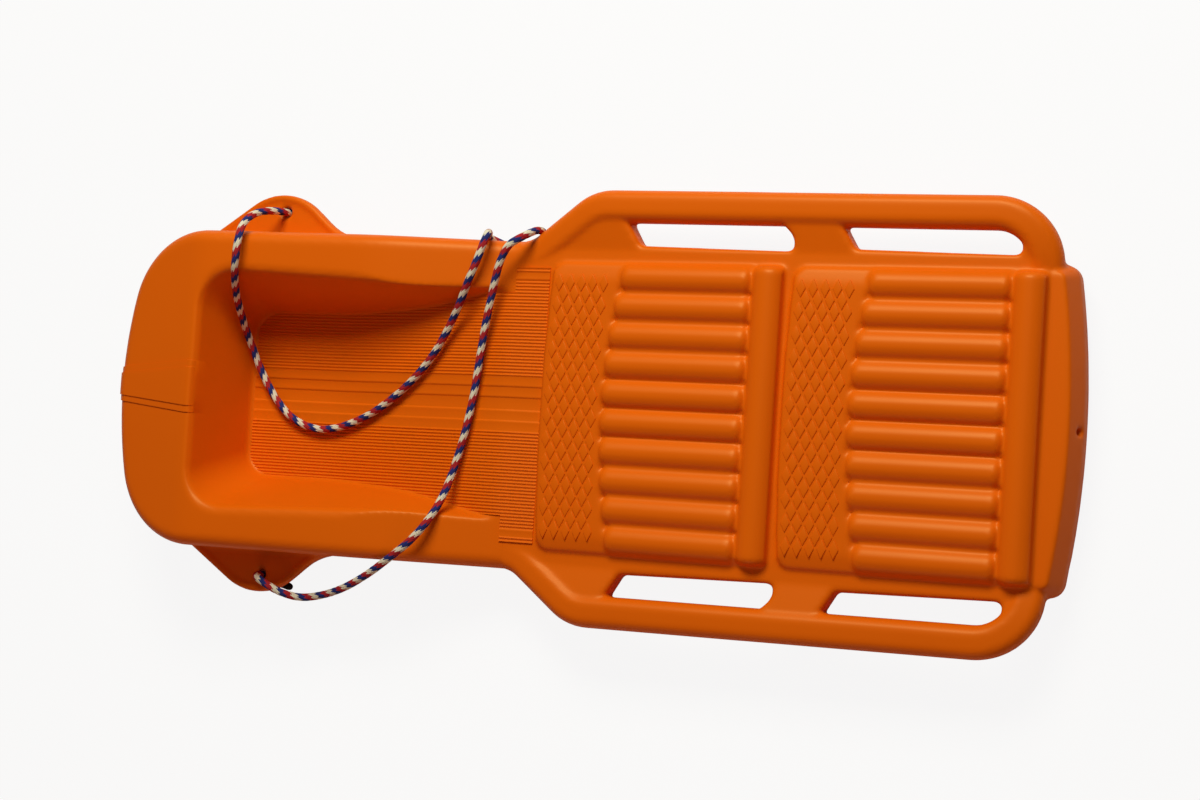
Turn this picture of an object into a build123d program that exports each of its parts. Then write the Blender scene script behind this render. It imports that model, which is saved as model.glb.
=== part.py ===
from build123d import *
import math
import os

# Two-rider snow sled: one hollow moulding with a foot well at the nose, two ribbed seats,
# hand rails along both sides, two tow ears and a braided tow rope tied through them.
# Frame: +X to the nose, +Y to the riders' left, +Z up, origin on the ground under the middle.
# All sizes are in millimetres.

# ---- Driving dimensions -----------------------------------------------------------------
length = 1220.0              # nose tip to tail
hull_width = 396.0           # across the front hull
rail_span = 518.0            # over the outer faces of the two hand rails
rail_taper = 4.0             # each rail runs in by this much towards the tail
deck_height = 66.0           # top of the deck above the ground
belly_height = 7.0           # underside of the moulding above the ground, on its runners
rim_height = 135.0           # top of the rim in front of the foot well

nose_deck = 122.0            # nose tip back to the front of the foot well
nose_corner = 110.0          # plan radius of the nose corners
nose_bow = 480.0             # plan radius of the front edge
nose_rise = 210.0            # length of the upswept underside
chin_height = 92.0           # height the upsweep reaches under the nose tip
lip_height = 119.0           # height of the rim's top at the nose tip
rim_knee = 165.0             # top of the ramp forward to where the rim levels out
rim_knee_height = 112.0      # height of the rim there
knee_round = 350.0           # round in the rim's top line at the knee
rim_round = 160.0            # the same in front of the foot well, where it turns down to the nose
top_round = 16.0             # edge round along the top of the moulding
belly_round = 20.0           # edge round along the underside

well_floor = 21.0            # height of the foot-well floor
well_width = 210.0           # across the floor between the wall feet
well_wall_lean = 45.0        # how far each side wall leans out, floor to rim
well_front_lean = 17.0       # the same for the front wall
well_flare = 17.0            # extra half width at the rear end of the well
well_corner = 34.0           # plan radius of the front corners at the floor
well_corner_lean = 14.0      # how much wider that radius is at the rim
well_flare_length = 130.0    # how far the flare reaches ahead of the ramp top
flare_round = 500.0          # plan radius where the flare starts
well_floor_round = 7.0       # round between floor and walls
rim_eases = ((7.6, 3.0), (2.8, 8.2))  # two bevels along the inner edge of the rim: depth, width
ramp_length = 245.0          # ramp from the floor up to the deck
floor_round = 260.0          # round between the floor and the ramp
ramp_round = 60.0            # round between the ramp, or the rim, and the deck
hull_joint_back = 14.0       # ramp top back to the joint between front hull and rear deck
step_length = 55.0           # level tread between the ramp and the front seat

seat_width = 342.0           # across each seat
pad_length = 79.0            # diamond pad at the front of each seat
rib_length = 182.0           # ribbed stretch behind the pad
roll_length = 35.0           # cross roll at the rear of each seat
seat_gap = 8.0               # valley between the two seats
seat_margin = 43.0           # rear seat to the tail
pad_height = 9.0             # pad above the deck
rib_height = 15.0            # crest of a rib above the deck
roll_height = 18.0           # crest of the cross roll above the deck
rib_count = 10               # ribs across a seat
seat_bow = 750.0             # plan radius of the line between pad and ribs
rib_root = 4.0               # valley between two ribs above the deck
rib_end_round = 9.0          # edge round of a rib's two ends
rib_end_gap = 2.5            # ribs' rear ends to the cross roll
roll_side = 9.0              # where the roll's top starts to curve, above the deck
roll_end_round = 9.0         # edge round of the roll's two ends
pad_bow = 2275.0             # plan radius of a pad's front edge
pad_corner = 14.0            # plan radius of its front corners
pad_round = 3.5              # edge round of the pad
pad_side = 18.0              # width of the slope at its two ends
pad_side_round = 40.0        # round where that slope starts
pad_edge = 4.5               # height of the pad's side edges above the deck

rail_width = 38.0            # width of a hand rail
rail_depth = 40.0            # height of a hand rail's section
rail_rise = 13.0             # crest of a hand rail above the deck
rail_round = 13.0            # edge round along the underside of a rail
slot_width = 27.0            # clear width of a hand slot
slot_slant = 16.0            # how far the front end of a slot slants
slot_corner = 8.0            # corner radius of a slot
slot_heel = 10.0             # how far its outer rear corner is cut off by the heel
slot_heel_round = 18.0       # plan radius where the heel starts
slot_round = 6.0             # edge round of a slot, top and bottom
slot_lead = 39.0             # end of the shoulder back to the front slot
slot_tail = 74.0             # tail to the rear end of the rear slot
bridge_length = 58.0         # solid bridge between the two slots of a side
web_crease = 188.0           # mid-plane out to where the deck starts to rise to the rails
web_slope = 0.22             # how steeply it rises
web_drop = 25.0              # deck down to the underside of the bridges and shoulders
shoulder_lead = 14.0         # joint back to where the shoulder starts
shoulder_length = 85.0       # length over which it runs out to the rail
shoulder_hollow = 40.0       # plan radius where it leaves the hull
shoulder_round = 75.0        # plan radius where it reaches the rail
rail_end_round = 75.0        # plan radius where the rail turns in at the tail
rail_end_run = 60.0          # how far its turned-in end reaches back towards the deck
rail_end_gap = 30.0          # tail to the rear face of that end
tail_width = 366.0           # across the tail edge
tail_bow = 1040.0            # plan radius of the tail edge
tail_corner = 18.0           # plan radius of the tail corners
tail_slope = 26.0            # height of the sloping band round the tail
tail_lean = 24.0             # degrees by which that band leans in
tail_crease = 3.0            # edge round between it and the deck
vent_hole = 9.0              # hole in the middle of the tail wall
vent_depth = 16.0            # its depth from the tail
vent_height = 45.0           # height of its middle
rail_joint = 185.0           # mid-plane out to the line where a rail meets the deck

ear_peak = 197.0             # nose tip back to the hole of a tow ear
ear_reach = 72.5             # hull side out to where an ear's two flanks would meet
ear_front = 110.0            # length of its front flank along the hull
ear_rear = 86.0              # length of its rear flank
ear_thickness = 15.0
ear_root = 14.0              # how far an ear is rooted inside the hull side
ear_top = 66.0               # height of an ear's upper face
ear_tip_round = 78.0         # plan radius between the flanks
ear_rear_foot = 80.0         # plan radius where the rear flank meets the hull
ear_hole = 12.0              # hole for the rope
ear_hole_reach = 31.0        # hull side out to the hole
ear_border = 7.0             # raised border left round the recessed face
ear_recess = 2.5
ear_round = 4.0              # edge round
ear_dimple = 4.0             # countersink round the hole

runner_width = 30.0
runner_spacing = 126.0       # mid-plane out to a side runner
runner_tail = 28.0           # tail to the rear end of the runners
runner_nose = 80.0           # nose tip back to the front end of the runners
runner_edge = 2.5
runner_end_lean = 2.0        # degrees by which a runner's front end is cut back

tread_thickness = 2.0        # ribbed floor over the skin of the well
tread_margin = 1.0           # tread edge to the foot of the wall round
groove_pitch = 4.0           # fine grooves along the tread
groove_width = 1.6
groove_depth = 1.0
strip_count = 5              # flat strips down the middle of the tread
strip_pitch = 13.0
step_width = 330.0           # ribbed width of the level step
step_back = 9.0              # foot of the rim back to where the tread starts to widen
step_flank = 9.0             # length over which it widens
step_gap = 1.0               # front seat to the ribbed step
step_pair = 2.5              # outer edge of the step to the last of its pair of grooves
step_border = 16.0           # outer edge of the step to the last of the other grooves

crest_step = 1.3             # rise of each step of the panel down the middle of the nose
crest_front = (39.0, 24.0)   # widths of its two steps at the nose tip
crest_rear = (65.0, 48.0)    # widths at the foot well
crest_back = 9.0             # how far it stops from the edge of the well
crest_chin = 90.0            # height at which it stops under the nose

rope_diameter = 9.5
knot_diameter = 25.0
knot_depth = 22.0
knot_clearance = 0.3         # knot to the underside of its ear

# ---- Places worked out from them --------------------------------------------------------
nose_x = length / 2
tail_x = -length / 2
hull_side = hull_width / 2
rim_front_x = nose_x - nose_deck
floor_front_x = rim_front_x - well_front_lean
seat_length = pad_length + rib_length + roll_length
rear_seat_x = tail_x + seat_margin + seat_length
front_seat_x = rear_seat_x + seat_gap + seat_length
ramp_top_x = front_seat_x + step_length
ramp_foot_x = ramp_top_x + ramp_length
hull_joint_x = ramp_top_x - hull_joint_back
knee_x = ramp_top_x + rim_knee
rise_radius = (nose_rise**2 + (chin_height - belly_height) ** 2) / (2 * (chin_height - belly_height))
shoulder_x = hull_joint_x - shoulder_lead
rail_front_x = shoulder_x - shoulder_length
slot_rear_x = tail_x + slot_tail
slot_length = (rail_front_x - slot_lead - slot_rear_x - bridge_length) / 2
over = 60.0                  # how far cutting tools run past the solid


def arc(start, middle, end):
    return ThreePointArc(start, middle, end)


def on_circle(centre, radius, degrees):
    a = math.radians(degrees)
    return (centre[0] + radius * math.cos(a), centre[1] + radius * math.sin(a))


def side_view(face, half_width):
    """Extrude a face drawn as (x, z) across the sled."""
    return extrude(Plane.XZ * face, amount=half_width, both=True)


def mirrored(shape):
    return mirror(shape, about=Plane.XZ)


# ---- Front hull -------------------------------------------------------------------------
def nose_plan(grow=0.0):
    """Plan of the front hull, its outer edge moved out by grow."""
    half = hull_side + grow
    corner = nose_corner + grow
    bow = nose_bow + grow
    bow_x = nose_x + grow - bow
    corner_x = bow_x + math.sqrt((bow - corner) ** 2 - (half - corner) ** 2)
    corner_c = (corner_x, half - corner)
    lean = math.degrees(math.atan2(half - corner, corner_x - bow_x))
    left = [on_circle(corner_c, corner, a) for a in (90, (90 + lean) / 2, lean)]
    right = [(x, -y) for x, y in reversed(left)]
    edges = [
        Line((hull_joint_x, -half), (hull_joint_x, half)),
        Line((hull_joint_x, half), left[0]),
        arc(*left),
        arc(left[2], (nose_x + grow, 0), right[0]),
        arc(*right),
        Line(right[2], (hull_joint_x, -half)),
    ]
    return make_face(Wire(edges))


def hull_top(grow=0.0):
    """Top line of the front hull, from the deck over the rim to past the nose."""
    tip_slope = (lip_height - rim_height) / nose_deck
    return FilletPolyline(
        (hull_joint_x, deck_height + grow),
        (ramp_top_x, deck_height + grow),
        (knee_x, rim_knee_height + grow),
        (rim_front_x, rim_height + grow),
        (nose_x + over, lip_height + grow + tip_slope * over),
        radius=[ramp_round, knee_round, rim_round],
    )


def hull_side_face(grow=0.0):
    """Side view of the front hull, with the underside sweeping up to the chin."""
    top = hull_top(grow)
    rise_x = nose_x - nose_rise
    end_angle = math.degrees(math.asin(min(0.999, (nose_rise + over * 0.4) / rise_radius)))
    centre = (rise_x, belly_height + rise_radius)
    mid = on_circle(centre, rise_radius, -90 + end_angle / 2)
    chin = on_circle(centre, rise_radius, -90 + end_angle)
    edges = list(top.edges()) + [
        Line(top @ 1, chin),
        arc(chin, mid, (rise_x, belly_height)),
        Line((rise_x, belly_height), (hull_joint_x, belly_height)),
        Line((hull_joint_x, belly_height), top @ 0),
    ]
    return make_face(Wire(edges))


def rim_edges(body, plan, upper):
    """Edges that run round the outside of the hull, along its top or its underside."""
    outline = plan.face().outer_wire()
    found = []
    for edge in body.edges():
        p = edge @ 0.5
        run = edge % 0.5
        if p.X < hull_joint_x + 1 or abs(run.Z) > 0.95:
            continue
        if outline.distance_to(Vertex(p.X, p.Y, 0)) > 0.05:
            continue
        rise = max(0.0, p.X - (nose_x - nose_rise))
        low = belly_height + rise_radius - math.sqrt(max(0.0, rise_radius**2 - rise**2))
        if (p.Z - low > 8) == upper:
            found.append(edge)
    return ShapeList(found)


def hull_block(grow=0.0):
    """The closed outer form of the front hull, before the foot well is cut."""
    plan = nose_plan(grow)
    body = extrude(plan, amount=rim_height + over) & side_view(hull_side_face(grow), hull_side + over)
    body = fillet(rim_edges(body, plan, True), top_round + grow)
    return fillet(rim_edges(body, plan, False), belly_round + grow)


def well_outline(front, half, half_rear, corner):
    """Plan of the foot well at one height: rounded in front, flared at the rear."""
    rear = hull_joint_x - over
    flare_x = ramp_top_x + well_flare_length
    slope = (half_rear - half) / well_flare_length
    half_end = half_rear + slope * (ramp_top_x - rear)
    points = [(flare_x, half), (front, half), (front, -half), (flare_x, -half), (rear, -half_end), (rear, half_end)]
    face = make_face(Polyline(*points, close=True))
    corners = face.vertices().sort_by(Axis.X)
    face = fillet(corners[-2:], corner)
    bends = [v for v in face.vertices() if abs(v.X - flare_x) < 1]
    return fillet(bends, flare_round)


def well_floor_line(rise=0.0):
    """Floor of the well from front to rear: level, up the ramp, level again at the deck."""
    return FilletPolyline(
        (nose_x + over, well_floor + rise),
        (ramp_foot_x, well_floor + rise),
        (ramp_top_x, deck_height + rise),
        (hull_joint_x - over, deck_height + rise),
        radius=[floor_round, ramp_round],
    )


def above_floor(rise=0.0):
    """Everything above the floor line, across the whole hull."""
    line = well_floor_line(rise)
    top = rim_height + over
    edges = list(line.edges()) + [
        Line(line @ 1, (hull_joint_x - over, top)),
        Line((hull_joint_x - over, top), (nose_x + over, top)),
        Line((nose_x + over, top), line @ 0),
    ]
    return side_view(make_face(Wire(edges)), hull_width)


def well_cone(inset=0.0):
    """The leaning walls of the foot well as one solid, its walls moved in by inset."""
    sections = []
    for height in (well_floor - belly_round, rim_height + over):
        share = (height - well_floor) / (rim_height - well_floor)
        half = well_width / 2 + well_wall_lean * share - inset
        front = floor_front_x + well_front_lean * share - inset
        corner = well_corner + well_corner_lean * share - inset
        sections.append(Pos(0, 0, height) * well_outline(front, half, half + well_flare, corner))
    return loft(sections, ruled=True)


def well_cutter():
    """What the foot well takes out of the hull: leaning walls over a floor that ramps up."""
    well = well_cone() & above_floor()
    foot = []
    for edge in well.edges():
        p, run = edge @ 0.5, edge % 0.5
        across = abs(p.Y) < 1 and abs(run.Y) > 0.9 and p.X < floor_front_x - over / 2
        if p.Z < deck_height + 1 and not across:
            foot.append(edge)
    return fillet(foot, well_floor_round)


def rim_relief(depth, width):
    """One bevel along the inner edge of the rim; it dies out where the rim comes down to the deck."""
    slope = (rim_height - rim_knee_height) / (rim_front_x - knee_x)
    lean = well_wall_lean / (rim_height - well_floor)
    sections = []
    for drop in (depth, -depth):
        spread = width * (1 - drop / depth)
        half = well_width / 2 + lean * (rim_height - drop - well_floor) + spread
        run = rim_front_x - ramp_top_x
        half_rear = half - slope * lean * run
        corner = well_corner + well_corner_lean + spread
        plan = make_face(Polyline((-run, half_rear), (spread, half), (spread, -half), (-run, -half_rear), close=True))
        plan = fillet(plan.vertices().sort_by(Axis.X)[-2:], corner)
        lying = Plane(origin=(rim_front_x, 0, rim_height - drop), x_dir=(1, 0, slope), z_dir=(-slope, 0, 1))
        sections.append(lying * plan)
    return loft(sections, ruled=True)


def front_hull(hull):
    """Nose, side walls and foot well in one."""
    body = hull - well_cutter()
    for depth, width in rim_eases:
        body = body - rim_relief(depth, width)
    return body


# ---- Rear deck, hand rails --------------------------------------------------------------
def tail_plan():
    """Plan of the deck itself: it narrows under the shoulders and ends in the bowed tail."""
    half = tail_width / 2
    edge_x = tail_x + tail_bow - math.sqrt(tail_bow**2 - half**2)
    sides = [
        FilletPolyline(
            (hull_joint_x + over, sign * hull_side),
            (shoulder_x, sign * hull_side),
            (rail_front_x, sign * half),
            (edge_x, sign * half),
            radius=[shoulder_hollow, shoulder_round],
        )
        for sign in (1, -1)
    ]
    joint = Line(sides[1] @ 0, sides[0] @ 0)
    tail = arc(sides[0] @ 1, (tail_x, 0), sides[1] @ 1)
    face = make_face(Wire([*sides[0].edges(), tail, *sides[1].edges(), joint]))
    return fillet(face.vertices().sort_by(Axis.X)[:2], tail_corner)


def rail_line():
    """Middle of the left rail, seen from above: along the hull, out over the shoulder, back, in at the tail."""
    inset = rail_width / 2
    rail_y = rail_span / 2 - inset
    end_x = tail_x + rail_end_gap + inset
    return [
        (hull_joint_x + over, hull_side - inset),
        (shoulder_x, hull_side - inset),
        (rail_front_x, rail_y),
        (end_x, rail_y - rail_taper),
        (end_x, rail_y - rail_taper - rail_end_run),
    ]


rail_rounds = [shoulder_hollow + rail_width / 2, shoulder_round - rail_width / 2, rail_end_round - rail_width / 2]


def grip_rail():
    """Left hand rail: one round-topped bar that leaves the hull at deck height and ends at it."""
    middle_z = deck_height + rail_rise - rail_depth / 2
    heights = [middle_z - rail_rise] * 2 + [middle_z] * 2 + [middle_z - rail_rise]
    points = [(x, y, z) for (x, y), z in zip(rail_line(), heights)]
    path = FilletPolyline(*points, radius=rail_rounds)
    bar = Rectangle(rail_width, rail_depth)
    bar = fillet(bar.vertices().sort_by(Axis.Y)[-2:], top_round)
    bar = fillet(bar.vertices().sort_by(Axis.Y)[:2], rail_round)
    start = Plane(origin=path @ 0, x_dir=(0, 1, 0), z_dir=path % 0)
    return sweep(start * bar, path=path)


def slot_plan(rear_x):
    """One hand slot on the left side, drawn out under the rail: slanted in front, a heel behind."""
    front_x = rear_x + slot_length
    outer = rail_span / 2 - rail_width
    outer_rear = outer - rail_taper
    under = rail_width
    points = [
        (front_x + slot_slant * under / slot_width, outer + under),
        (rear_x + slot_heel + under, outer_rear + under),
        (rear_x, outer_rear - slot_heel),
        (rear_x, outer_rear - slot_width),
        (front_x - slot_slant, outer - slot_width),
    ]
    face = make_face(Polyline(*points, close=True))
    inner = face.vertices().sort_by(Axis.Y)
    face = fillet(inner[:2], slot_corner)
    return fillet(face.vertices().filter_by(lambda v: abs(v.Y - outer_rear + slot_heel) < 0.1), slot_heel_round)


def rail_web():
    """What joins the left rail to the deck: shoulder, bridge and rear web, rising to the rail."""
    line = FilletPolyline(*rail_line(), radius=rail_rounds)
    core = hull_side / 2
    ends = Polyline(line @ 1, ((line @ 1).X, core), (hull_joint_x + over, core), line @ 0)
    plan = make_face(Wire([*line.edges(), *ends.edges()]))
    reach = rail_span / 2
    low = deck_height - web_drop
    section = Polyline(
        (core, low),
        (core, deck_height),
        (web_crease, deck_height),
        (reach, deck_height + web_slope * (reach - web_crease)),
        (reach, low),
        close=True,
    )
    block = extrude(Plane.YZ * make_face(section), amount=length, both=True)
    web = block & extrude(plan, amount=2 * deck_height)
    for rear_x in (slot_rear_x, slot_rear_x + slot_length + bridge_length):
        slot = slot_plan(rear_x)
        web = web - extrude(slot, amount=2 * deck_height)
        outline = slot.face().outer_wire()
        web = fillet([e for e in web.edges() if along(e, outline) and abs((e % 0.5).Z) < 0.3], slot_round)
    return web


def along(edge, outline):
    """Whether an edge lies over a line drawn in plan."""
    return all(outline.distance_to(Vertex((edge @ t).X, (edge @ t).Y, 0)) < 0.05 for t in (0.1, 0.5, 0.9))


def rear_moulding():
    """Deck, shoulders, rails and bridges together, before they are told apart."""
    base = deck_height - tail_slope
    deck = extrude(Pos(0, 0, belly_height) * tail_plan(), amount=base - belly_height)
    deck = fillet([e for e in flat_edges(deck, belly_height) if (e @ 0.5).X < hull_joint_x + over / 2], belly_round)
    band = extrude(Pos(0, 0, base) * tail_plan(), amount=tail_slope, taper=tail_lean)
    band = fillet([e for e in flat_edges(band, deck_height) if (e @ 0.5).X < slot_rear_x], tail_crease)
    side = rail_web() + grip_rail()
    whole = deck + band + side + mirrored(side)
    vent = Pos(tail_x, 0, vent_height) * Rot(0, 90, 0) * Cylinder(vent_hole / 2, 2 * vent_depth)
    return (whole - vent) & zone(tail_x - over, hull_joint_x, -rail_span, rail_span)


def flat_edges(solid, height):
    """Edges lying level at one height."""
    return [e for e in solid.edges() if abs((e @ 0.5).Z - height) < 0.5 and abs((e % 0.5).Z) < 0.5]


def zone(x_low, x_high, y_low, y_high):
    """A tall block over one stretch of the plan, used to part the moulding into its regions."""
    size = (x_high - x_low, y_high - y_low, 2 * (rim_height + over))
    return Pos((x_low + x_high) / 2, (y_low + y_high) / 2, 0) * Box(*size)


# ---- Seats ------------------------------------------------------------------------------
def bowed_plan(front_x, rear_x, front_radius, rear_radius, half):
    """Plan of a strip across the sled with either end line bowed towards the nose (0: straight)."""

    def line(x, radius, start, end):
        if not radius:
            return Line((x, start), (x, end))
        back = x - radius + math.sqrt(radius**2 - half**2)
        return arc((back, start), (x, 0), (back, end))

    front = line(front_x, front_radius, half, -half)
    rear = line(rear_x, rear_radius, -half, half)
    return make_face(Wire([front, Line(front @ 1, rear @ 0), rear, Line(rear @ 1, front @ 0)]))


def seat_pad(front_x):
    """Raised pad at the front of a seat, its rear edge following the ends of the ribs."""
    half = seat_width / 2
    plan = bowed_plan(front_x, front_x - pad_length, pad_bow, seat_bow, half)
    plan = fillet(plan.vertices().sort_by(Axis.X)[-2:], pad_corner)
    pad = extrude(Pos(0, 0, deck_height) * plan, amount=pad_height)
    edge = deck_height + pad_edge
    top = deck_height + pad_height
    profile = FilletPolyline(
        (-half, edge), (pad_side - half, top), (half - pad_side, top), (half, edge), radius=pad_side_round
    )
    under = Polyline((half, edge), (half, 0), (-half, 0), (-half, edge))
    section = make_face(Wire([*profile.edges(), *under.edges()]))
    pad = pad & extrude(Plane.YZ * section, amount=length, both=True)
    rim = [e for e in pad.edges() if along(e, plan.face().outer_wire()) and (e @ 0.5).Z > deck_height + 1]
    return fillet([e for e in rim if abs((e % 0.5).Z) < 0.5], pad_round)


def seat_rib(front_x, rear_x):
    """One half-round rib with rounded ends."""
    half_pitch = seat_width / rib_count / 2
    rise = rib_height - rib_root
    radius = (half_pitch**2 + rise**2) / (2 * rise)
    below = radius - rib_height
    foot = math.sqrt(radius**2 - below**2)
    section = make_face(Wire([arc((-foot, 0), (0, rib_height), (foot, 0)), Line((foot, 0), (-foot, 0))]))
    bar = extrude(Pos(rear_x, 0, deck_height) * (Plane.YZ * section), amount=front_x - rear_x)
    ends = [e for e in bar.edges() if e.geom_type == GeomType.CIRCLE]
    return fillet(ends, rib_end_round)


def seat_ribs(front_x):
    """Half-round ribs side by side along the seat, on the skin they are moulded in."""
    pitch = seat_width / rib_count
    half = seat_width / 2
    line_x = front_x - pad_length
    rear_x = line_x - rib_length + rib_end_gap
    plan = bowed_plan(line_x, rear_x, seat_bow, 0, half)
    ribs = extrude(Pos(0, 0, deck_height) * plan, amount=rib_root)
    for i in range(rib_count):
        y = (i - (rib_count - 1) / 2) * pitch
        bow = seat_bow - math.sqrt(seat_bow**2 - y**2)
        ribs = ribs + Pos(0, y, 0) * seat_rib(line_x - bow, rear_x)
    return ribs & extrude(plan, amount=deck_height + rib_height + over)


def seat_roll(front_x):
    """Half-round roll across the rear of a seat, rounded at both ends."""
    rear_x = front_x - seat_length
    side = deck_height + roll_side
    face = make_face(
        Wire(
            [
                Line((rear_x, deck_height), (rear_x + roll_length, deck_height)),
                Line((rear_x + roll_length, deck_height), (rear_x + roll_length, side)),
                arc(
                    (rear_x + roll_length, side),
                    (rear_x + roll_length / 2, deck_height + roll_height),
                    (rear_x, side),
                ),
                Line((rear_x, side), (rear_x, deck_height)),
            ]
        )
    )
    roll = side_view(face, seat_width / 2)
    ends = [e for e in roll.edges() if e.geom_type == GeomType.CIRCLE]
    return fillet(ends, roll_end_round)


# ---- Tow ears ---------------------------------------------------------------------------
def ear_plan():
    """Plan of the left tow ear: two flanks with a round tip, the rear one running into the hull side."""
    peak_x = nose_x - ear_peak
    tip = hull_side + ear_reach
    foot_x = peak_x - ear_rear
    points = [
        (peak_x + ear_front * (1 + ear_root / ear_reach), hull_side - ear_root),
        (peak_x, tip),
        (foot_x, hull_side),
        (foot_x - ear_rear, hull_side),
        (foot_x - ear_rear, hull_side - ear_root),
    ]
    face = make_face(Polyline(*points, close=True))
    face = fillet(face.vertices().sort_by(Axis.Y)[-1], ear_tip_round)
    return fillet(face.vertices().filter_by(lambda v: abs(v.X - foot_x) + abs(v.Y - hull_side) < 0.1), ear_rear_foot)


def tow_ear(hull):
    """Left tow ear: a tab off the hull side with a recessed face and a hole for the rope."""
    outline = ear_plan()
    tab = extrude(Pos(0, 0, ear_top - ear_thickness) * outline, amount=ear_thickness)
    rims = [e for e in tab.edges() if abs((e % 0.5).Z) < 0.5 and (e @ 0.5).Y > hull_side - ear_root / 2]
    tab = fillet(rims, ear_round)
    seat = ear_top - ear_recess
    tab = tab - extrude(Pos(0, 0, seat) * offset(outline, amount=-ear_border), amount=over)
    funnel = Cone(ear_hole / 2, ear_hole / 2 + ear_dimple, ear_dimple, align=(Align.CENTER, Align.CENTER, Align.MAX))
    hole = Cylinder(ear_hole / 2, 4 * ear_thickness) + funnel
    return tab - Pos(nose_x - ear_peak, hull_side + ear_hole_reach, seat) * hole - hull


# ---- Runners ----------------------------------------------------------------------------
def runner(y):
    """One moulded runner: flat on the ground, following the upsweep under the nose."""
    rise_x = nose_x - nose_rise
    centre = (rise_x, belly_height + rise_radius)
    end = math.degrees(math.asin((nose_rise - runner_nose) / rise_radius))
    outer = rise_radius + belly_height
    inner_arc = [on_circle(centre, rise_radius, a - 90) for a in (end, end / 2, 0)]
    outer_arc = [on_circle(centre, outer, a - 90) for a in (0, end / 2, end - runner_end_lean)]
    tail = tail_x + runner_tail
    edges = [
        Line((tail, belly_height), (tail + 2 * belly_height, 0)),
        Line((tail + 2 * belly_height, 0), outer_arc[0]),
        arc(*outer_arc),
        Line(outer_arc[2], inner_arc[0]),
        arc(*inner_arc),
        Line(inner_arc[2], (tail, belly_height)),
    ]
    bar = side_view(make_face(Wire(edges)), runner_width / 2)
    low = [
        e
        for e in bar.edges()
        if abs((e % 0.5).Y) < 0.1 and abs(abs((e @ 0.5).Y) - runner_width / 2) < 0.1
    ]
    soles = [e for e in low if (e @ 0.5).Z < sole_line((e @ 0.5).X) - belly_height / 2]
    return Pos(0, y, 0) * fillet(soles, runner_edge)


def sole_line(x):
    """Height of the hull's underside at x."""
    rise = max(0.0, x - (nose_x - nose_rise))
    return belly_height + rise_radius - math.sqrt(max(0.0, rise_radius**2 - rise**2))


# ---- Ribbed tread in the foot well ------------------------------------------------------
def floor_band(low, high):
    """The layer between two heights over the floor line."""
    return above_floor(low) - above_floor(high)


def foot_tread():
    """Ribbed floor of the well and the step behind it, with flat strips down the middle."""
    inset = well_floor_round + tread_margin
    ahead = zone(ramp_top_x, nose_x, -hull_side, hull_side)
    ramp = floor_band(0.0, tread_thickness) & well_cone(inset) & ahead
    share = (deck_height - well_floor) / (rim_height - well_floor)
    waist = well_width / 2 + well_wall_lean * share + well_flare - inset
    half = step_width / 2
    rear_x = front_seat_x + step_gap
    neck_x = ramp_top_x - step_back
    left = [(ramp_top_x, waist), (neck_x, waist), (neck_x - step_flank, half), (rear_x, half)]
    plan = Polyline(*left, *[(x, -y) for x, y in reversed(left)], close=True)
    step = floor_band(0.0, tread_thickness) & extrude(make_face(plan), amount=rim_height)
    grooves = [strip_pitch * (i + 0.5) for i in range(strip_count // 2 + 1)]
    fine = grooves[-1] + groove_pitch
    while fine < half - step_border:
        grooves.append(fine)
        fine += groove_pitch
    grooves += [half - step_pair, half - step_pair - groove_pitch]
    comb = [Pos(side * y, 0) * Rectangle(groove_width, rim_height) for y in grooves for side in (1, -1)]
    cut = extrude(Plane.YZ * (Sketch() + comb), amount=length, both=True)
    return ramp + step - (cut & floor_band(tread_thickness - groove_depth, tread_thickness + groove_depth))


# ---- Nose crest -------------------------------------------------------------------------
def nose_crest(hull):
    """Two-step raised panel from the nose tip back to the foot well."""
    crest = None
    for i, (front, rear) in enumerate(zip(crest_front, crest_rear)):
        rear_x = rim_front_x + crest_back
        plan = make_face(
            Polyline(
                (nose_x + over / 4, front / 2), (nose_x + over / 4, -front / 2), (rear_x, -rear / 2), (rear_x, rear / 2),
                close=True,
            )
        )
        over_chin = extrude(Pos(0, 0, crest_chin) * plan, amount=rim_height + over)
        step = hull_block((i + 1) * crest_step) & over_chin
        crest = step if crest is None else crest + step
    return crest - hull


# ---- Tow rope ---------------------------------------------------------------------------
# Centre line, laid by hand: up through the right ear, over the rim into the well, out over the
# right rim and down beside the hull, back over the step, across to the left rim and into the left ear.
rope_route = [
    (413, -229, 51), (413, -229, 79), (429, -230, 108), (438, -211, 136), (432, -181, 149),
    (434, -149, 144), (449, -120, 112), (462, -93, 73), (465, -64, 42), (453, -29, 31),
    (433, 4, 29.5), (405, 33, 29.5), (363, 45, 29.5), (320, 36, 32), (275, 14, 40),
    (232, -17, 50), (196, -53, 57), (171, -92, 65), (153, -123, 84), (139, -149, 101),
    (128, -169, 107), (120, -187, 107), (115, -203, 97), (115, -213, 78), (122, -215, 58),
    (129, -211, 37), (122, -204, 17), (105, -199, 6), (82, -199, 6), (64, -205, 19),
    (57, -213, 41), (57, -216, 63), (62, -215, 84), (72, -207, 100),
    (84, -190, 107), (93, -168, 103), (100, -141, 92), (108, -109, 80), (116, -75, 73),
    (121, -38, 70), (126, 0, 69), (135, 40, 67.5), (147, 80, 67), (156, 112, 79),
    (162, 138, 100), (178, 166, 112), (206, 191, 111), (241, 214, 97), (282, 234, 77),
    (318, 244, 65), (348, 249, 67), (372, 245, 78), (392, 237, 85), (413, 229, 81), (413, 229, 51),
]


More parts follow.
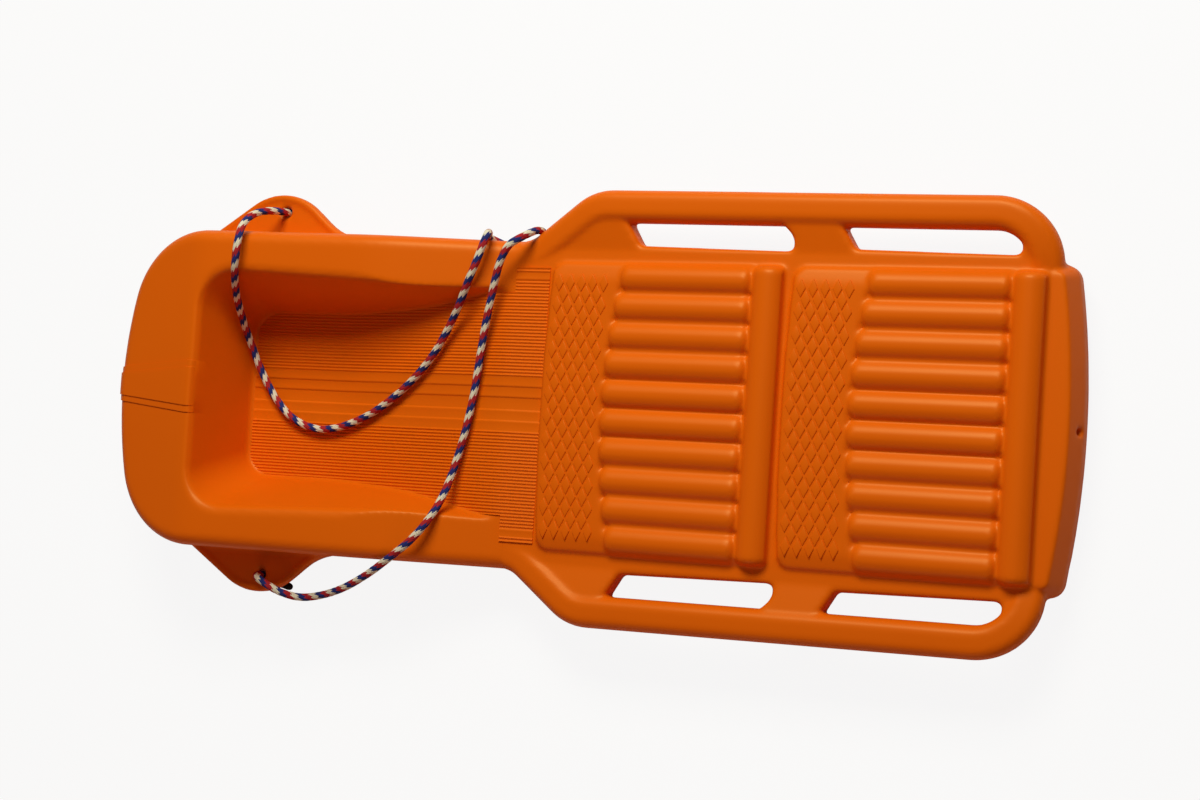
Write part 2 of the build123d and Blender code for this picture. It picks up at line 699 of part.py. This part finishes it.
def rope_path():
    """Straight runs joined by arcs, each as large as the two runs beside it allow."""
    points = [Vector(*p) for p in rope_route]
    radii = []
    for a, b, c in zip(points, points[1:], points[2:]):
        turn = math.radians((b - a).get_angle(c - b))
        radii.append(0.45 * min((b - a).length, (c - b).length) / math.tan(turn / 2))
    return FilletPolyline(*points, radius=radii), radii


def tow_rope():
    path, radii = rope_path()
    section = Plane(origin=path @ 0, z_dir=path % 0) * Circle(rope_diameter / 2)
    rope = sweep(section, path=path)
    print("rope length", round(path.length), "tightest radii", [round(r) for r in sorted(radii)[:6]])
    print("rope volume over section times length", rope.volume / (math.pi * rope_diameter**2 / 4 * path.length))
    return rope


def tow_knot(side):
    """Stopper knot drawn up against the underside of an ear, the rope leaving its flat top."""
    hole_y = hull_side + ear_hole_reach
    half = knot_depth / 2
    mouth = half * math.sqrt(1 - (ear_hole / knot_diameter) ** 2)
    centre_z = ear_top - ear_thickness - knot_clearance - mouth
    ball = scale(Sphere(knot_diameter / 2), by=(1, 1, knot_depth / knot_diameter))
    knot = Pos(nose_x - ear_peak, side * hole_y, centre_z) * ball
    return split(knot, bisect_by=Plane.XY.offset(ear_top - ear_thickness), keep=Keep.BOTTOM)


def build():
    hull = hull_block()
    rear = rear_moulding()
    ear = tow_ear(hull)
    rail_bottom = deck_height - rail_depth
    left = zone(tail_x - over, hull_joint_x + over, rail_joint, rail_span)
    left = left & Pos(0, 0, rail_bottom + length) * Box(2 * length, 2 * length, 2 * length)
    parts = {
        "front_hull": front_hull(hull),
        "rear_deck": rear - left - mirrored(left),
        "left_grip_rail": rear & left,
        "right_grip_rail": rear & mirrored(left),
        "left_tow_ear": ear,
        "right_tow_ear": mirrored(ear),
        "nose_crest": nose_crest(hull),
        "foot_tread": foot_tread(),
        "centre_runner": runner(0),
        "left_runner": runner(runner_spacing),
        "right_runner": runner(-runner_spacing),
        "tow_rope": tow_rope(),
        "left_rope_knot": tow_knot(1),
        "right_rope_knot": tow_knot(-1),
    }
    for name, front_x in (("front", front_seat_x), ("rear", rear_seat_x)):
        parts[f"{name}_seat_pad"] = seat_pad(front_x)
        parts[f"{name}_seat_ribs"] = seat_ribs(front_x)
        parts[f"{name}_seat_roll"] = seat_roll(front_x)
    return parts


os.makedirs("parts", exist_ok=True)
for name, shape in build().items():
    export_step(shape, f"parts/{name}.step")
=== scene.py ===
import math

import bpy
import numpy as np
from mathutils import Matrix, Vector


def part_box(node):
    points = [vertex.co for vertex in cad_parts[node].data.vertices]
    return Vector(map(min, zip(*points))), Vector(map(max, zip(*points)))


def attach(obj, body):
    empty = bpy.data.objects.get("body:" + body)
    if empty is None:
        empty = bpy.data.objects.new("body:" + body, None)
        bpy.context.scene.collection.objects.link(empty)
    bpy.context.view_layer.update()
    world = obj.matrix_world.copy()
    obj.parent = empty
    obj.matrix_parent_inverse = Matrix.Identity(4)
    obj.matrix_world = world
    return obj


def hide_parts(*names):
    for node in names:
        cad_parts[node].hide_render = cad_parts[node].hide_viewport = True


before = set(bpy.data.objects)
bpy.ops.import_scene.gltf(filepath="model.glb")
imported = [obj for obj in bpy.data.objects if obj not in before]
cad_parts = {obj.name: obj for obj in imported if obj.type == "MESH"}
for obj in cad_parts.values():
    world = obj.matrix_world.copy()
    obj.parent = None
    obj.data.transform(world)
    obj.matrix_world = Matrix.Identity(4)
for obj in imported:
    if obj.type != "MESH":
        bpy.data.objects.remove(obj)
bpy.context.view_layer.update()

mm = 0.001

# ---- Camera -------------------------------------------------------------------------------
# A 69 mm lens two and a half metres above the sled, a little behind it and to its left,
# so that the deck is seen almost square on with the nose at the left.
bpy.ops.object.camera_add(
    location=(-1.1715, 0.1098, 2.5297),
    rotation=[math.radians(a) for a in (4.2623, 24.4108, -175.8099)],
)
camera = bpy.context.object
camera.data.lens = 69
camera.data.sensor_width = 36
camera.data.clip_end = 50
bpy.context.scene.camera = camera

# ---- Floor and light ----------------------------------------------------------------------
# A wide pale sheet under the sled. One big soft box stands off its right side and a weak warm
# one off its left; the sheet and the room give the rest. The camera sees sheet and room white.
floor_size = 60
floor_whiteness = 0.9  # share of plain white in what the camera sees of the sheet
white = (1, 1, 1, 1)
room_glow = 0.15
sled_middle = Vector((0, 0, 0.05))


class Socket:
    """An output of a finish's node. Arithmetic on it adds Math nodes."""

    def __init__(self, finish, socket):
        self.finish = finish
        self.socket = socket

    def maths(self, operation, *others):
        """A Math node on this output and the others."""
        return self.finish.node("Math", {"operation": operation}, dict(enumerate((self, *others))))

    def __add__(self, other):
        return self.maths("ADD", other)

    __radd__ = __add__

    def __mul__(self, other):
        return self.maths("MULTIPLY", other)

    __rmul__ = __mul__

    def __gt__(self, other):
        return self.maths("GREATER_THAN", other)

    def fraction(self):
        """What is left after its whole numbers."""
        return self.maths("FRACT")


class Finish:
    """The nodes of a new material, or of the room's light, and the one method that adds them."""

    def __init__(self, made):
        self.made = made
        made.use_nodes = True
        self.tree = made.node_tree
        self.tree.nodes.clear()

    def node(self, kind, settings=None, inputs=None, out=0):
        """Adds a node: its kind, then its settings, then the values or links of its inputs."""
        added = self.tree.nodes.new("ShaderNode" + kind)
        for key, value in (settings or {}).items():
            setattr(added, key, value)
        for key, value in (inputs or {}).items():
            if isinstance(value, Socket):
                self.tree.links.new(value.socket, added.inputs[key])
            else:
                added.inputs[key].default_value = value
        return Socket(self, added.outputs[out]) if len(added.outputs) else added

    def mix(self, share, first, second):
        """Two colours mixed by share."""
        return self.node("Mix", {"data_type": "RGBA"}, {0: share, 6: first, 7: second}, out=2)

    def ending_in(self, shader, output="OutputMaterial"):
        """The finished material, or light, with this shader at its end."""
        self.node(output, None, {"Surface": shader})
        return self.made


sheet = Finish(bpy.data.materials.new("white_studio_sheet"))
bare = sheet.node("BsdfDiffuse", None, {"Color": (0.8, 0.71, 0.68, 1)})
lit = sheet.node("Emission", None, {"Color": white, "Strength": 1.0})
shown = sheet.node("MixShader", None, {0: floor_whiteness, 1: bare, 2: lit})
by_ray = sheet.node("MixShader", None, {0: sheet.node("LightPath"), 1: bare, 2: shown})

bpy.ops.mesh.primitive_plane_add(size=floor_size)
floor = bpy.context.object
floor.name = "studio_floor"
floor.data.materials.append(sheet.ending_in(by_ray))

room = Finish(bpy.data.worlds.new("room"))
glow = room.node("Background", None, {"Color": (1, 0.72, 0.62, 1), "Strength": room_glow})
backdrop = room.node("Background", None, {"Color": white, "Strength": 1.0})
by_ray = room.node("MixShader", None, {0: room.node("LightPath"), 1: glow, 2: backdrop})
bpy.context.scene.world = room.ending_in(by_ray, "OutputWorld")


def soft_box(place, size, power, colour):
    """A soft rectangular light turned towards the middle of the sled."""
    bpy.ops.object.light_add(type="AREA", location=place)
    lamp = bpy.context.object
    lamp.data.shape = "RECTANGLE"
    lamp.data.size, lamp.data.size_y = size
    lamp.data.energy = power
    lamp.data.color = colour
    lamp.rotation_euler = (sled_middle - Vector(place)).to_track_quat("-Z", "Y").to_euler()


soft_box(place=(-0.15, -2.1, 2.1), size=(1.6, 1.0), power=82, colour=(0.9, 1, 0.88))
soft_box(place=(0.3, 2.4, 0.9), size=(1.8, 1.0), power=7, colour=(1, 0.55, 0.4))

# ---- Moulding -----------------------------------------------------------------------------
# One hollow shell of orange polyethylene, blown in a mould: nose, foot well, deck, hand rails,
# tow ears, seats and runners in one, every edge and every joint between them rounded.
skin_grain = 2.6 * mm
hull_nodes = ["front_hull", "left_tow_ear", "right_tow_ear"]
rail_nodes = ["left_grip_rail", "right_grip_rail"]
deck_nodes = [
    "rear_deck", "centre_runner", "left_runner", "right_runner",
    "front_seat_pad", "front_seat_ribs", "front_seat_roll",
    "rear_seat_pad", "rear_seat_ribs", "rear_seat_roll",
]


def pick(piece):
    """Makes this the one selected, active object."""
    bpy.ops.object.select_all(action="DESELECT")
    piece.select_set(True)
    bpy.context.view_layer.objects.active = piece


def copy_of(source, name):
    """A copy with its own mesh."""
    twin = bpy.data.objects.new(name, source.data.copy())
    bpy.context.collection.objects.link(twin)
    return twin


def joined(pieces):
    """One piece made of these, which keeps the last one's name and place."""
    pick(pieces[-1])
    for piece in pieces:
        piece.select_set(True)
    bpy.ops.object.join()
    return bpy.context.object


def merged_copy(name, nodes):
    """One new piece from copies of solid parts of the frame, their triangles welded."""
    piece = joined([copy_of(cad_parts[node], name) for node in nodes])
    bpy.ops.object.mode_set(mode="EDIT")
    bpy.ops.mesh.select_all(action="SELECT")
    bpy.ops.mesh.remove_doubles(threshold=0.01 * mm)
    bpy.ops.object.mode_set(mode="OBJECT")
    return piece


def finish_with(piece, kind, **settings):
    """Adds one modifier and applies it."""
    pick(piece)
    modifier = piece.modifiers.new(kind, kind)
    for key, value in settings.items():
        setattr(modifier, key, value)
    bpy.ops.object.modifier_apply(modifier=modifier.name)


def part_of(whole, name, *cuts):
    """A closed piece of the skin. Each cut is a place and the direction of what it takes away."""
    piece = copy_of(whole, name)
    pick(piece)
    bpy.ops.object.mode_set(mode="EDIT")
    for place, normal in cuts:
        bpy.ops.mesh.select_all(action="SELECT")
        bpy.ops.mesh.bisect(plane_co=place, plane_no=normal, use_fill=True, clear_outer=True)
    bpy.ops.object.mode_set(mode="OBJECT")
    bpy.ops.object.shade_smooth_by_angle(angle=math.radians(60))
    return piece


skin = merged_copy("moulding", hull_nodes + rail_nodes + deck_nodes)
finish_with(skin, "REMESH", mode="VOXEL", voxel_size=skin_grain)
finish_with(skin, "SMOOTH", factor=0.5, iterations=5)
finish_with(skin, "DECIMATE", ratio=0.4)

joint = (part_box("front_hull")[0][0], 0, 0)
left_edge = (0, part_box("left_grip_rail")[0][1], 0)
right_edge = (0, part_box("right_grip_rail")[1][1], 0)
behind_joint = (joint, (1, 0, 0))
nose = part_of(skin, "nose_and_foot_well", (joint, (-1, 0, 0)))
deck = part_of(skin, "deck_and_seats", behind_joint, (left_edge, (0, 1, 0)), (right_edge, (0, -1, 0)))
left_rail = part_of(skin, "left_hand_rail", behind_joint, (left_edge, (0, -1, 0)))
right_rail = part_of(skin, "right_hand_rail", behind_joint, (right_edge, (0, 1, 0)))
bpy.data.objects.remove(skin)

plastic = Finish(bpy.data.materials.new("orange_polyethylene"))
spot = plastic.node("TexCoord", out=3)
cloud = plastic.node("TexNoise", None, {"Vector": spot, "Scale": 9.0, "Detail": 3.0})
grain = plastic.node("TexNoise", None, {"Vector": spot, "Scale": 900.0, "Detail": 2.0})
bump = plastic.node("Bump", None, {"Strength": 0.12, "Distance": 0.2 * mm, "Height": grain})
satin = {
    "Base Color": plastic.mix(cloud, (0.82, 0.13, 0.0015, 1), (0.79, 0.118, 0.001, 1)),
    "Roughness": cloud * 0.08 + 0.36,
    "Normal": bump,
    "IOR": 1.5,
    "Specular IOR Level": 0.32,
    "Specular Tint": (1, 0.72, 0.28, 1),
}
orange = plastic.ending_in(plastic.node("BsdfPrincipled", None, satin))


def mould_in_orange(piece, *nodes):
    """Gives a piece of the moulding its plastic, and hides the nodes that it stands for."""
    piece.data.materials.clear()
    piece.data.materials.append(orange)
    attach(piece, "root")
    if nodes:
        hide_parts(*nodes)


mould_in_orange(nose, *hull_nodes)
mould_in_orange(deck, *deck_nodes)
mould_in_orange(left_rail, "left_grip_rail")
mould_in_orange(right_rail, "right_grip_rail")

# ---- Nose crest ---------------------------------------------------------------------------
# A panel raised in two steps down the middle of the nose and moulded with it. Its rear end
# runs out over the round of the rim, as a short sheet laid on the moulding that sinks into it.
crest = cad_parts["nose_crest"]
crest.data.materials.clear()
crest.data.materials.append(orange)

crest_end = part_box("nose_crest")[0][0]
crest_step = 1.3 * mm
lower_half, upper_half = 32.5 * mm, 24 * mm
step_edge = 0.5 * mm
lap = 0.5 * mm  # how far the sheet reaches over the panel
run_out = 14 * mm
run_out_stations = 16
fade_length = 6 * mm
sunk = 0.4 * mm  # how deep the sheet's rim lies under the skin
above_sled = 0.3


def top_of(surface, x, y):
    """Height of the upper side of a piece or node at a place."""
    return surface.ray_cast((x, y, above_sled), (0, 0, -1))[1][2]


def laid_sheet(name, stations, columns, height):
    """A sheet over a grid of places along and across the sled, at the heights given for them."""
    bpy.ops.mesh.primitive_grid_add(x_subdivisions=len(stations) - 1, y_subdivisions=len(columns) - 1)
    piece = bpy.context.object
    piece.name = name
    places = np.stack(np.broadcast_arrays(stations[None, :], columns[:, None], height), axis=-1)
    piece.data.vertices.foreach_set("co", places.ravel())
    piece.data.update()
    return piece


stations = np.linspace(crest_end - run_out, crest_end + lap, run_out_stations)
left_columns = [0, upper_half / 2, upper_half, upper_half + step_edge, lower_half, lower_half + step_edge]
steps_up = [2, 2, 2, 1, 1, 0]
columns = np.array([-y for y in left_columns[:0:-1]] + left_columns)
rise = crest_step * np.array(steps_up[:0:-1] + steps_up)[:, None]
fade = np.clip((stations - stations[0]) / fade_length, 0, 1)[None, :]
bpy.context.view_layer.update()
rim = np.array([[top_of(nose, x, y) for x in stations] for y in columns])
height = rim + rise * fade - sunk * np.maximum(1 - fade, rise == 0)
run = laid_sheet("crest_run_out", stations, columns, height)
finish_with(run, "SOLIDIFY", thickness=1 * mm, offset=-1)
bpy.ops.object.shade_smooth_by_angle(angle=math.radians(30))
mould_in_orange(run)

# ---- Ribbed tread -------------------------------------------------------------------------
# Round-topped ribs along the floor of the well, up its ramp and over the step behind it, with
# five broad flat ones down the middle. Under the walls of the well they run on out of sight.
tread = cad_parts["foot_tread"]
(step_rear, step_side, _), (well_front, _, _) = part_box("foot_tread")
step_half = -step_side
well_half = 134 * mm
ramp_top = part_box("front_hull")[0][0] + 5 * mm
rib_pitch = 4 * mm
rib_depth = 1.2 * mm
first_rib = 36.5 * mm
side_gap = 16 * mm
middle_grooves = [6.5 * mm, 19.5 * mm, 32.5 * mm]
across_a_rib = np.array([0, 0.5, 1.1, 2.0, 2.9, 3.5]) * mm  # columns from a groove to the next
station_gap = 7 * mm
edge_inset = 1 * mm  # the floor's height is read this far inside its ends
under_walls = 4 * mm


def ribbed(name, rear, front, half, grooves):
    """A ribbed sheet that follows the floor from rear to front, half its width either side."""
    edges = np.concatenate([groove + across_a_rib for groove in grooves])
    edges = np.unique(np.round(np.concatenate([[0], edges[edges < half], [half]]), decimals=5))
    columns = np.concatenate([-edges[:0:-1], edges])
    stations = np.linspace(rear, front, round((front - rear) / station_gap) + 1)
    on_tread = np.clip(stations, step_rear + edge_inset, well_front - edge_inset)
    level = np.array([top_of(tread, x, 0) for x in on_tread])
    to_groove = np.min(np.abs(np.abs(columns)[:, None] - np.array(grooves)), axis=1)
    nearness = 1 - np.minimum(to_groove / (rib_pitch / 2), 1)
    height = level - rib_depth * (1 - np.cos(np.pi * nearness))[:, None] / 2
    return laid_sheet(name, stations, columns, height)


grooves = middle_grooves + list(np.arange(first_rib, step_half - side_gap, rib_pitch))
side_pair = [step_half - 6.5 * mm, step_half - 2.5 * mm]
well_ribs = ribbed("well_ribs", ramp_top, well_front + under_walls, well_half, grooves)
step_ribs = ribbed("step_ribs", step_rear, ramp_top, step_half, grooves + side_pair)
finish_with(step_ribs, "SOLIDIFY", thickness=1.9 * mm, offset=-1)
ribs = joined([step_ribs, well_ribs])
ribs.name = "ribbed_tread"
bpy.ops.object.shade_smooth_by_angle(angle=math.radians(50))
mould_in_orange(ribs, "foot_tread")

# ---- Diamonds on the seat pads ------------------------------------------------------------
# Each pad is covered with small raised diamonds in staggered rows, so that a rider doesn't slip.
# The rows run along the sled, five diamonds and four by turns, and bow back at the sides.
diamond_length, diamond_width = 11.8 * mm, 22.5 * mm
diamond_rise = 1.2 * mm
diamond_pitch = 14.5 * mm
diamonds_in_a_row = 5
row_pitch = 13.35 * mm
rows = 23
bow_radius = 2275 * mm
first_diamond = 11 * mm

bpy.ops.mesh.primitive_cylinder_add(vertices=4, radius=0.5, depth=1)
stud = bpy.context.object
bpy.ops.object.mode_set(mode="EDIT")
bpy.ops.transform.resize(value=(diamond_length, diamond_width, 3 * diamond_rise))
bpy.ops.object.mode_set(mode="OBJECT")
finish_with(stud, "BEVEL", width=1.1 * mm, segments=3, limit_method="ANGLE", angle_limit=math.radians(40))
bpy.ops.object.shade_smooth()

for seat in ("front", "rear"):
    _, (pad_front, _, pad_top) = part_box(f"{seat}_seat_pad")
    twins = []
    for row in range(rows):
        y = (row - (rows - 1) / 2) * row_pitch
        bow = y * y / (2 * bow_radius)
        short = row % 2
        for step in range(diamonds_in_a_row - short):
            x = pad_front - first_diamond - (step + short / 2) * diamond_pitch - bow
            twin = copy_of(stud, f"{seat}_pad_diamonds")
            twin.location = (x, y, pad_top - diamond_rise / 2)
            twins.append(twin)
    grip = joined(twins)
    bpy.ops.object.transform_apply(location=True)
    mould_in_orange(grip)
bpy.data.objects.remove(stud)

# ---- Tow rope -----------------------------------------------------------------------------
# Nine and a half millimetre braided rope, white, red and blue. Its ends go down through the
# tow ears, and between them it lies over the well and hangs in a loop outside its right wall.
rope_diameter = 9.5 * mm
rope_route = [
    (0.413, -0.229, 0.051), (0.413, -0.229, 0.079), (0.427, -0.224, 0.108), (0.429, -0.207, 0.136),
    (0.427, -0.181, 0.148), (0.432, -0.149, 0.143), (0.448, -0.121, 0.112), (0.462, -0.0935, 0.073),
    (0.4665, -0.064, 0.042), (0.4545, -0.0285, 0.031), (0.433, 0.004, 0.0295), (0.404, 0.032, 0.0295),
    (0.363, 0.0445, 0.0295), (0.32, 0.036, 0.032), (0.274, 0.0155, 0.04), (0.229, -0.0155, 0.05),
    (0.193, -0.051, 0.057), (0.1665, -0.0905, 0.065), (0.146, -0.1215, 0.079), (0.131, -0.148, 0.09),
    (0.122, -0.168, 0.0915), (0.116, -0.187, 0.0905), (0.1125, -0.2035, 0.086), (0.119, -0.206, 0.069),
    (0.13, -0.2055, 0.051), (0.138, -0.2045, 0.036), (0.136, -0.2025, 0.0185), (0.1205, -0.1955, 0.0075),
    (0.09, -0.1935, 0.0062), (0.0665, -0.2035, 0.017), (0.0585, -0.2105, 0.041), (0.057, -0.2115, 0.061),
    (0.0595, -0.2045, 0.08), (0.067, -0.1975, 0.0895), (0.08, -0.1885, 0.094), (0.092, -0.167, 0.09),
    (0.1, -0.141, 0.084), (0.108, -0.109, 0.079), (0.116, -0.075, 0.073), (0.121, -0.038, 0.07),
    (0.126, 0.0, 0.069), (0.1345, 0.04, 0.0675), (0.1455, 0.081, 0.067), (0.152, 0.1155, 0.078),
    (0.157, 0.142, 0.097), (0.174, 0.1705, 0.109), (0.203, 0.194, 0.109), (0.2385, 0.2165, 0.096),
    (0.281, 0.2365, 0.077), (0.318, 0.2485, 0.065), (0.349, 0.2545, 0.067), (0.3735, 0.249, 0.078),
    (0.3925, 0.2385, 0.085), (0.413, 0.229, 0.081), (0.413, 0.229, 0.051),
]
strand_count = 18
strand_size = 1.1 * mm
strand_ring = rope_diameter / 2 - strand_size
strand_lay = 70 * mm  # along the rope in one turn of a strand
stripe = 27 * mm  # along the rope from one red stripe to the next
yarn_colours = 3
tooth = 0.1  # every second strand changes colour this share of a stripe earlier
stitch_dip = 0.5 * mm
dip_sharpness = 5
line_fineness = 16
steep = 0.9  # a direction that rises more than this share of its length counts as upright


def middle_of(route):
    """Points along the smooth line through a route, and how far along it each one lies."""
    line = bpy.data.curves.new("line", "CURVE")
    line.dimensions = "3D"
    line.resolution_u = line_fineness
    spline = line.splines.new("NURBS")
    spline.points.add(len(route) - 1)
    for point, at in zip(spline.points, route):
        point.co = (*at, 1)
    spline.order_u = 3
    spline.use_endpoint_u = True
    holder = bpy.data.objects.new("line", line)
    bpy.context.collection.objects.link(holder)
    points = np.array([v.co for v in bpy.data.meshes.new_from_object(holder).vertices])
    bpy.data.objects.remove(holder)
    steps = np.linalg.norm(np.diff(points, axis=0), axis=1)
    return points, np.concatenate([[0], np.cumsum(steps)])


def sides_of(points):
    """Two directions across the rope at each of its points, carried along without twist."""
    ahead = np.gradient(points, axis=0)
    ahead /= np.linalg.norm(ahead, axis=1)[:, None]
    across = np.cross(ahead[0], (0.0, 0.0, 1.0) if abs(ahead[0][2]) < steep else (1.0, 0.0, 0.0))
    found = []
    for tangent in ahead:
        across = across - tangent * (across @ tangent)
        across /= np.linalg.norm(across)
        found.append((across, np.cross(tangent, across)))
    return np.array(found)


def braided(name, route, melted_length=0.0):
    """Rope along a route: strands laid round it, dipping under where the colour changes."""
    points, reach = middle_of(route)
    sides = sides_of(points)
    strands = bpy.data.curves.new(name, "CURVE")
    strands.dimensions = "3D"
    strands.bevel_depth = strand_size
    strands.bevel_resolution = 1
    lays = []
    for i in range(strand_count):
        turns = reach / strand_lay + i / strand_count
        lay = reach / stripe - turns + tooth * (i % 2)
        dip = stitch_dip * np.abs(2 * (yarn_colours * lay % 1) - 1) ** dip_sharpness
        angle = 2 * np.pi * turns
        across = np.cos(angle)[:, None] * sides[:, 0] + np.sin(angle)[:, None] * sides[:, 1]
        places = points + (strand_ring - dip)[:, None] * across
        strand = strands.splines.new("POLY")
        strand.points.add(len(points) - 1)
        strand.points.foreach_set("co", np.c_[places, np.ones(len(points))].ravel())
        lays.append(lay)
    piece = bpy.data.objects.new(name, strands)
    bpy.context.collection.objects.link(piece)
    pick(piece)
    bpy.ops.object.convert(target="MESH")
    piece = bpy.context.object
    bpy.ops.object.shade_smooth()
    ring = len(piece.data.vertices) // (strand_count * len(points))
    melted = np.tile(reach > reach[-1] - melted_length, strand_count)
    for attribute, values in (("stripe_phase", np.concatenate(lays)), ("melted", melted)):
        layer = piece.data.attributes.new(attribute, "FLOAT", "POINT")
        layer.data.foreach_set("value", np.repeat(values, ring).astype(np.float32))
    return piece, points


yarn = Finish(bpy.data.materials.new("braided_rope_yarn"))
lay_of = yarn.node("Attribute", {"attribute_name": "stripe_phase"}, out=2).fraction()
melt_of = yarn.node("Attribute", {"attribute_name": "melted"}, out=2)
fuzz = yarn.node("TexNoise", None, {"Vector": yarn.node("TexCoord", out=3), "Scale": 1500.0, "Detail": 2.0})
cream, red, blue = (0.86, 0.75, 0.58, 1), (0.46, 0.008, 0.016, 1), (0.008, 0.02, 0.18, 1)
dirt, char = (0.10, 0.08, 0.07, 1), (0.012, 0.009, 0.008, 1)
colour = yarn.mix(lay_of > 1 / yarn_colours, cream, red)
colour = yarn.mix(lay_of > 2 / yarn_colours, colour, blue)
colour = yarn.mix(fuzz * 0.25, colour, dirt)
colour = yarn.mix(melt_of, colour, char)
nap = yarn.node("Bump", None, {"Strength": 0.3, "Distance": 0.2 * mm, "Height": fuzz})
dull = {"Base Color": colour, "Roughness": 0.85, "Specular IOR Level": 0.2, "Normal": nap}
rope_finish = yarn.ending_in(yarn.node("BsdfPrincipled", None, dull))


def rope_part(piece, node):
    """Gives the rope, or a knot on it, its yarn, and hides the node that it stands for."""
    piece.data.materials.clear()
    piece.data.materials.append(rope_finish)
    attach(piece, "root")
    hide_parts(node)


rope, middle = braided("tow_rope_braid", rope_route)
rope_part(rope, "tow_rope")

# ---- Stopper knots ------------------------------------------------------------------------
# Under each ear the rope is wrapped round itself into a stopper knot, and its cut end is
# melted black. The points of a knot are in millimetres, from its top just below its ear.
coil = 7.4
coil_turns = 1.5
coil_foot = -16
coil_climb = 0.75  # in each eighth of a turn
lead_in = [(0, 0, 0), (0, 0, -9), (1, 0, -15)]
tails = {"left": (-29, 14, -12), "right": (-20, -4, -16)}
tail_bend = (0.55, 0.75, 0.8)  # shares of the way along x, y and z to the tail's end
melted_length = 7 * mm
melted_radius = 4.4 * mm
knot_gap = 0.5 * mm
ear_x, ear_y, ear_z = rope_route[-1]

for name, side in (("left", 1), ("right", -1)):
    tail = tails[name]
    wraps = list(lead_in)
    for eighth in range(round(8 * coil_turns) + 1):
        angle = side * math.pi * (eighth / 4 - 0.5)
        wraps.append((coil * math.cos(angle), coil * math.sin(angle), coil_foot + coil_climb * eighth))
    wraps += [[share * reach for share, reach in zip(tail_bend, tail)], tail]
    top = Vector((ear_x, side * ear_y, ear_z - knot_gap))
    knot, _ = braided("rope_knot", [top + Vector(at) * mm for at in wraps], melted_length)
    bpy.ops.mesh.primitive_uv_sphere_add(
        segments=16, ring_count=8, radius=melted_radius, location=top + Vector(tail) * mm
    )
    blob = bpy.context.object
    layer = blob.data.attributes.new("melted", "FLOAT", "POINT")
    layer.data.foreach_set("value", np.ones(len(blob.data.vertices), dtype=np.float32))
    knot = joined([blob, knot])
    knot.name = f"{name}_stopper_knot"
    rope_part(knot, f"{name}_rope_knot")

bpy.context.scene.view_settings.view_transform = "Standard"
